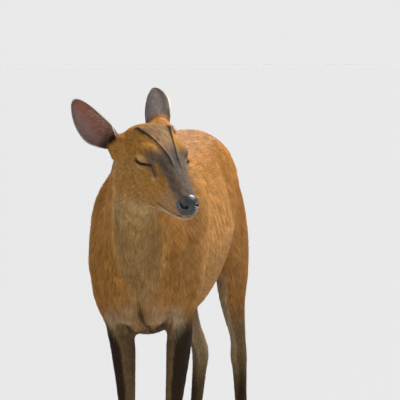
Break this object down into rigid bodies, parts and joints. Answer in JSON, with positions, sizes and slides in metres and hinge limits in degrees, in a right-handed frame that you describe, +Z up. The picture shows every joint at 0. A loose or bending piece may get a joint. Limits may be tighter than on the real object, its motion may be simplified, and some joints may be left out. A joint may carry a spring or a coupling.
{
  "type": "red muntjac doe model",
  "caption": "Life-size still model of a standing red muntjac doe with her head turned to her left and her eyes shut.",
  "frame": {"origin": "on the floor under the middle of the animal's box", "axes": "+Z up, the trunk's head end towards -Y, the animal's left side towards +X"},
  "size_m": [0.2566, 0.8394, 0.6634],
  "materials": {
    "coat": "short red-brown hair",
    "neck_coat": "greyish buff hair",
    "face_coat": "very short red-brown hair with dark lines",
    "leg_coat": "short brown hair",
    "dark_coat": "short dark brown hair",
    "tail_coat": "rust-red hair, white below",
    "ear_skin": "thin skin with sparse hair",
    "nose_pad": "wet black skin",
    "eye": "dark glossy eyeball",
    "horn": "dark horn"
  },
  "bodies": {
    "root": {"ear_left": "ear_skin", "ear_right": "ear_skin", "eye_left": "eye", "eye_right": "eye", "foreleg_left_cannon": "dark_coat", "foreleg_left_foot": "dark_coat", "foreleg_left_forearm": "leg_coat", "foreleg_left_shoulder": "coat", "foreleg_right_cannon": "dark_coat", "foreleg_right_foot": "dark_coat", "foreleg_right_forearm": "leg_coat", "foreleg_right_shoulder": "coat", "head": "face_coat", "hindleg_left_cannon": "dark_coat", "hindleg_left_foot": "dark_coat", "hindleg_left_gaskin": "leg_coat", "hindleg_left_thigh": "coat", "hindleg_right_cannon": "dark_coat", "hindleg_right_foot": "dark_coat", "hindleg_right_gaskin": "leg_coat", "hindleg_right_thigh": "coat", "hoof_foreleg_left_inner": "horn", "hoof_foreleg_left_outer": "horn", "hoof_foreleg_right_inner": "horn", "hoof_foreleg_right_outer": "horn", "hoof_hindleg_left_inner": "horn", "hoof_hindleg_left_outer": "horn", "hoof_hindleg_right_inner": "horn", "hoof_hindleg_right_outer": "horn", "neck": "neck_coat", "nose": "nose_pad", "tail": "tail_coat", "torso": "coat"}
  },
  "joints": []
}
